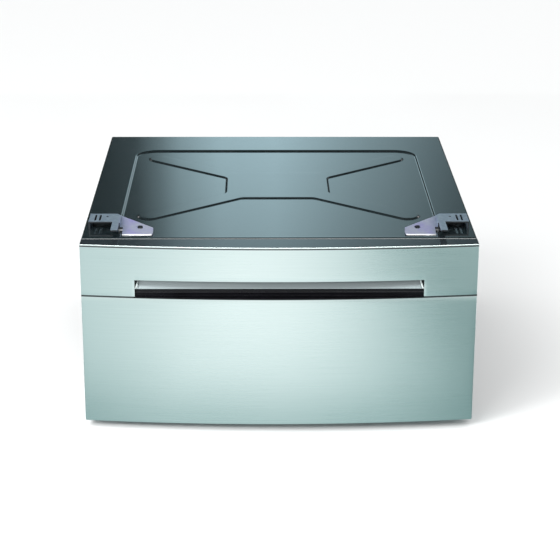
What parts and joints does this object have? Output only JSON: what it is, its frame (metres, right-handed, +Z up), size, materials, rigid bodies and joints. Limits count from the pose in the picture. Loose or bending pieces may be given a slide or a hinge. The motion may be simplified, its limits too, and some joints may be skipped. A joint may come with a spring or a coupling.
{
  "type": "laundry pedestal with storage drawer",
  "caption": "Low laundry pedestal with a bowed stainless drawer front, long recessed handle, pressed gloss top, foot retainers, telescopic slides and levelling feet.",
  "frame": {"origin": "on the floor, under the middle of the pedestal's bounding box", "axes": "+Z up, the drawer opens towards -Y, +X to the right when facing the front"},
  "size_m": [0.686, 0.7219, 0.3585],
  "materials": {
    "stainless_skin": "satin stainless sheet with a pale cool cast",
    "cabinet_paint": "dark blue-grey gloss enamel",
    "cap_gloss": "dark blue-grey gloss moulding",
    "retainer_zinc": "bright zinc plate with a faint violet cast",
    "galvanised": "galvanised sheet",
    "drawer_paint": "light grey powder coat",
    "pocket_black": "gloss black moulding",
    "core_plastic": "moulded black plastic",
    "trim_metal": "bright satin metal",
    "slide_steel": "zinc-plated rolled steel",
    "ball_steel": "hardened steel balls",
    "fastener_steel": "zinc-plated fasteners",
    "rubber_black": "black rubber",
    "lever_plastic": "black nylon"
  },
  "bodies": {
    "cabinet": {"top_panel": "cabinet_paint", "side_panel_left": "cabinet_paint", "side_panel_right": "cabinet_paint", "rear_panel": "galvanised", "base_rail_left": "galvanised", "base_rail_right": "galvanised", "bottom_brace_front": "galvanised", "bottom_brace_rear": "galvanised", "top_brace": "galvanised", "corner_post_front_left": "galvanised", "corner_post_front_right": "galvanised", "corner_post_rear_left": "galvanised", "corner_post_rear_right": "galvanised", "slide_mount_rail_left": "galvanised", "slide_mount_rail_right": "galvanised", "foot_retainer_left": "retainer_zinc", "foot_retainer_right": "retainer_zinc", "retainer_screws": "fastener_steel", "rear_panel_screws": "fastener_steel", "foot_lock_nuts": "fastener_steel", "foot_insert_nuts": "fastener_steel", "slide_outer_left": "slide_steel", "slide_outer_right": "slide_steel", "slide_outer_rivets": "fastener_steel"},
    "drawer": {"drawer_front_upper_skin": "stainless_skin", "drawer_front_lower_skin": "stainless_skin", "handle_pocket": "pocket_black", "handle_trim": "trim_metal", "drawer_front_top_cap": "cap_gloss", "drawer_front_core": "core_plastic", "drawer_front_inner_panel": "drawer_paint", "drawer_side_left": "drawer_paint", "drawer_side_right": "drawer_paint", "drawer_back": "drawer_paint", "drawer_bottom": "drawer_paint", "drawer_front_screws": "fastener_steel", "drawer_bumpers": "rubber_black", "slide_inner_left": "slide_steel", "slide_inner_right": "slide_steel", "slide_inner_rivets": "fastener_steel"},
    "slide_middle_left": {"slide_middle_left": "slide_steel"},
    "outer_cage_left": {"outer_ball_cage_left": "slide_steel", "outer_balls_left": "ball_steel"},
    "inner_cage_left": {"inner_ball_cage_left": "slide_steel", "inner_balls_left": "ball_steel"},
    "release_lever_left": {"release_lever_left": "lever_plastic"},
    "slide_middle_right": {"slide_middle_right": "slide_steel"},
    "outer_cage_right": {"outer_ball_cage_right": "slide_steel", "outer_balls_right": "ball_steel"},
    "inner_cage_right": {"inner_ball_cage_right": "slide_steel", "inner_balls_right": "ball_steel"},
    "release_lever_right": {"release_lever_right": "lever_plastic"},
    "foot_pad_front_left": {"foot_pad_front_left": "rubber_black"},
    "foot_stud_front_left": {"foot_stud_front_left": "fastener_steel"},
    "foot_pad_front_right": {"foot_pad_front_right": "rubber_black"},
    "foot_stud_front_right": {"foot_stud_front_right": "fastener_steel"},
    "foot_pad_rear_left": {"foot_pad_rear_left": "rubber_black"},
    "foot_stud_rear_left": {"foot_stud_rear_left": "fastener_steel"},
    "foot_pad_rear_right": {"foot_pad_rear_right": "rubber_black"},
    "foot_stud_rear_right": {"foot_stud_rear_right": "fastener_steel"}
  },
  "joints": [
    {"name": "drawer_slide", "type": "slide", "parent": "cabinet", "child": "drawer", "axis": [0, -1, 0], "range_m": [0, 0.5]},
    {"name": "slide_middle_left_travel", "type": "slide", "parent": "cabinet", "child": "slide_middle_left", "axis": [0, -1, 0], "range_m": [0, 0.25]},
    {"name": "outer_cage_left_travel", "type": "slide", "parent": "cabinet", "child": "outer_cage_left", "axis": [0, -1, 0], "range_m": [0, 0.125]},
    {"name": "inner_cage_left_travel", "type": "slide", "parent": "cabinet", "child": "inner_cage_left", "axis": [0, -1, 0], "range_m": [0, 0.375]},
    {"name": "release_lever_left_pivot", "type": "hinge", "parent": "drawer", "child": "release_lever_left", "pos_m": [-0.3025, -0.08, 0.15], "axis": [1, 0, 0], "range_deg": [-12, 12], "stiffness_Nm_per_rad": 0.05},
    {"name": "slide_middle_right_travel", "type": "slide", "parent": "cabinet", "child": "slide_middle_right", "axis": [0, -1, 0], "range_m": [0, 0.25]},
    {"name": "outer_cage_right_travel", "type": "slide", "parent": "cabinet", "child": "outer_cage_right", "axis": [0, -1, 0], "range_m": [0, 0.125]},
    {"name": "inner_cage_right_travel", "type": "slide", "parent": "cabinet", "child": "inner_cage_right", "axis": [0, -1, 0], "range_m": [0, 0.375]},
    {"name": "release_lever_right_pivot", "type": "hinge", "parent": "drawer", "child": "release_lever_right", "pos_m": [0.3025, -0.08, 0.15], "axis": [1, 0, 0], "range_deg": [-12, 12], "stiffness_Nm_per_rad": 0.05},
    {"name": "foot_height_front_left", "type": "slide", "parent": "cabinet", "child": "foot_pad_front_left", "axis": [0, 0, -1], "range_m": [0, 0.012]},
    {"name": "foot_turn_front_left", "type": "hinge", "parent": "foot_pad_front_left", "child": "foot_stud_front_left", "pos_m": [-0.313, -0.25, 0.01], "axis": [0, 0, -1], "range_deg": [0, 2880]},
    {"name": "foot_height_front_right", "type": "slide", "parent": "cabinet", "child": "foot_pad_front_right", "axis": [0, 0, -1], "range_m": [0, 0.012]},
    {"name": "foot_turn_front_right", "type": "hinge", "parent": "foot_pad_front_right", "child": "foot_stud_front_right", "pos_m": [0.313, -0.25, 0.01], "axis": [0, 0, -1], "range_deg": [0, 2880]},
    {"name": "foot_height_rear_left", "type": "slide", "parent": "cabinet", "child": "foot_pad_rear_left", "axis": [0, 0, -1], "range_m": [0, 0.012]},
    {"name": "foot_turn_rear_left", "type": "hinge", "parent": "foot_pad_rear_left", "child": "foot_stud_rear_left", "pos_m": [-0.313, 0.285, 0.01], "axis": [0, 0, -1], "range_deg": [0, 2880]},
    {"name": "foot_height_rear_right", "type": "slide", "parent": "cabinet", "child": "foot_pad_rear_right", "axis": [0, 0, -1], "range_m": [0, 0.012]},
    {"name": "foot_turn_rear_right", "type": "hinge", "parent": "foot_pad_rear_right", "child": "foot_stud_rear_right", "pos_m": [0.313, 0.285, 0.01], "axis": [0, 0, -1], "range_deg": [0, 2880]}
  ],
  "couplings": [
    {"joint": "slide_middle_left_travel", "follows": "drawer_slide", "ratio": 0.5},
    {"joint": "outer_cage_left_travel", "follows": "drawer_slide", "ratio": 0.25},
    {"joint": "inner_cage_left_travel", "follows": "drawer_slide", "ratio": 0.75},
    {"joint": "slide_middle_right_travel", "follows": "drawer_slide", "ratio": 0.5},
    {"joint": "outer_cage_right_travel", "follows": "drawer_slide", "ratio": 0.25},
    {"joint": "inner_cage_right_travel", "follows": "drawer_slide", "ratio": 0.75},
    {"joint": "foot_turn_front_left", "follows": "foot_height_front_left", "rad_per_m": 4188.7},
    {"joint": "foot_turn_front_right", "follows": "foot_height_front_right", "rad_per_m": 4188.7},
    {"joint": "foot_turn_rear_left", "follows": "foot_height_rear_left", "rad_per_m": 4188.7},
    {"joint": "foot_turn_rear_right", "follows": "foot_height_rear_right", "rad_per_m": 4188.7}
  ]
}
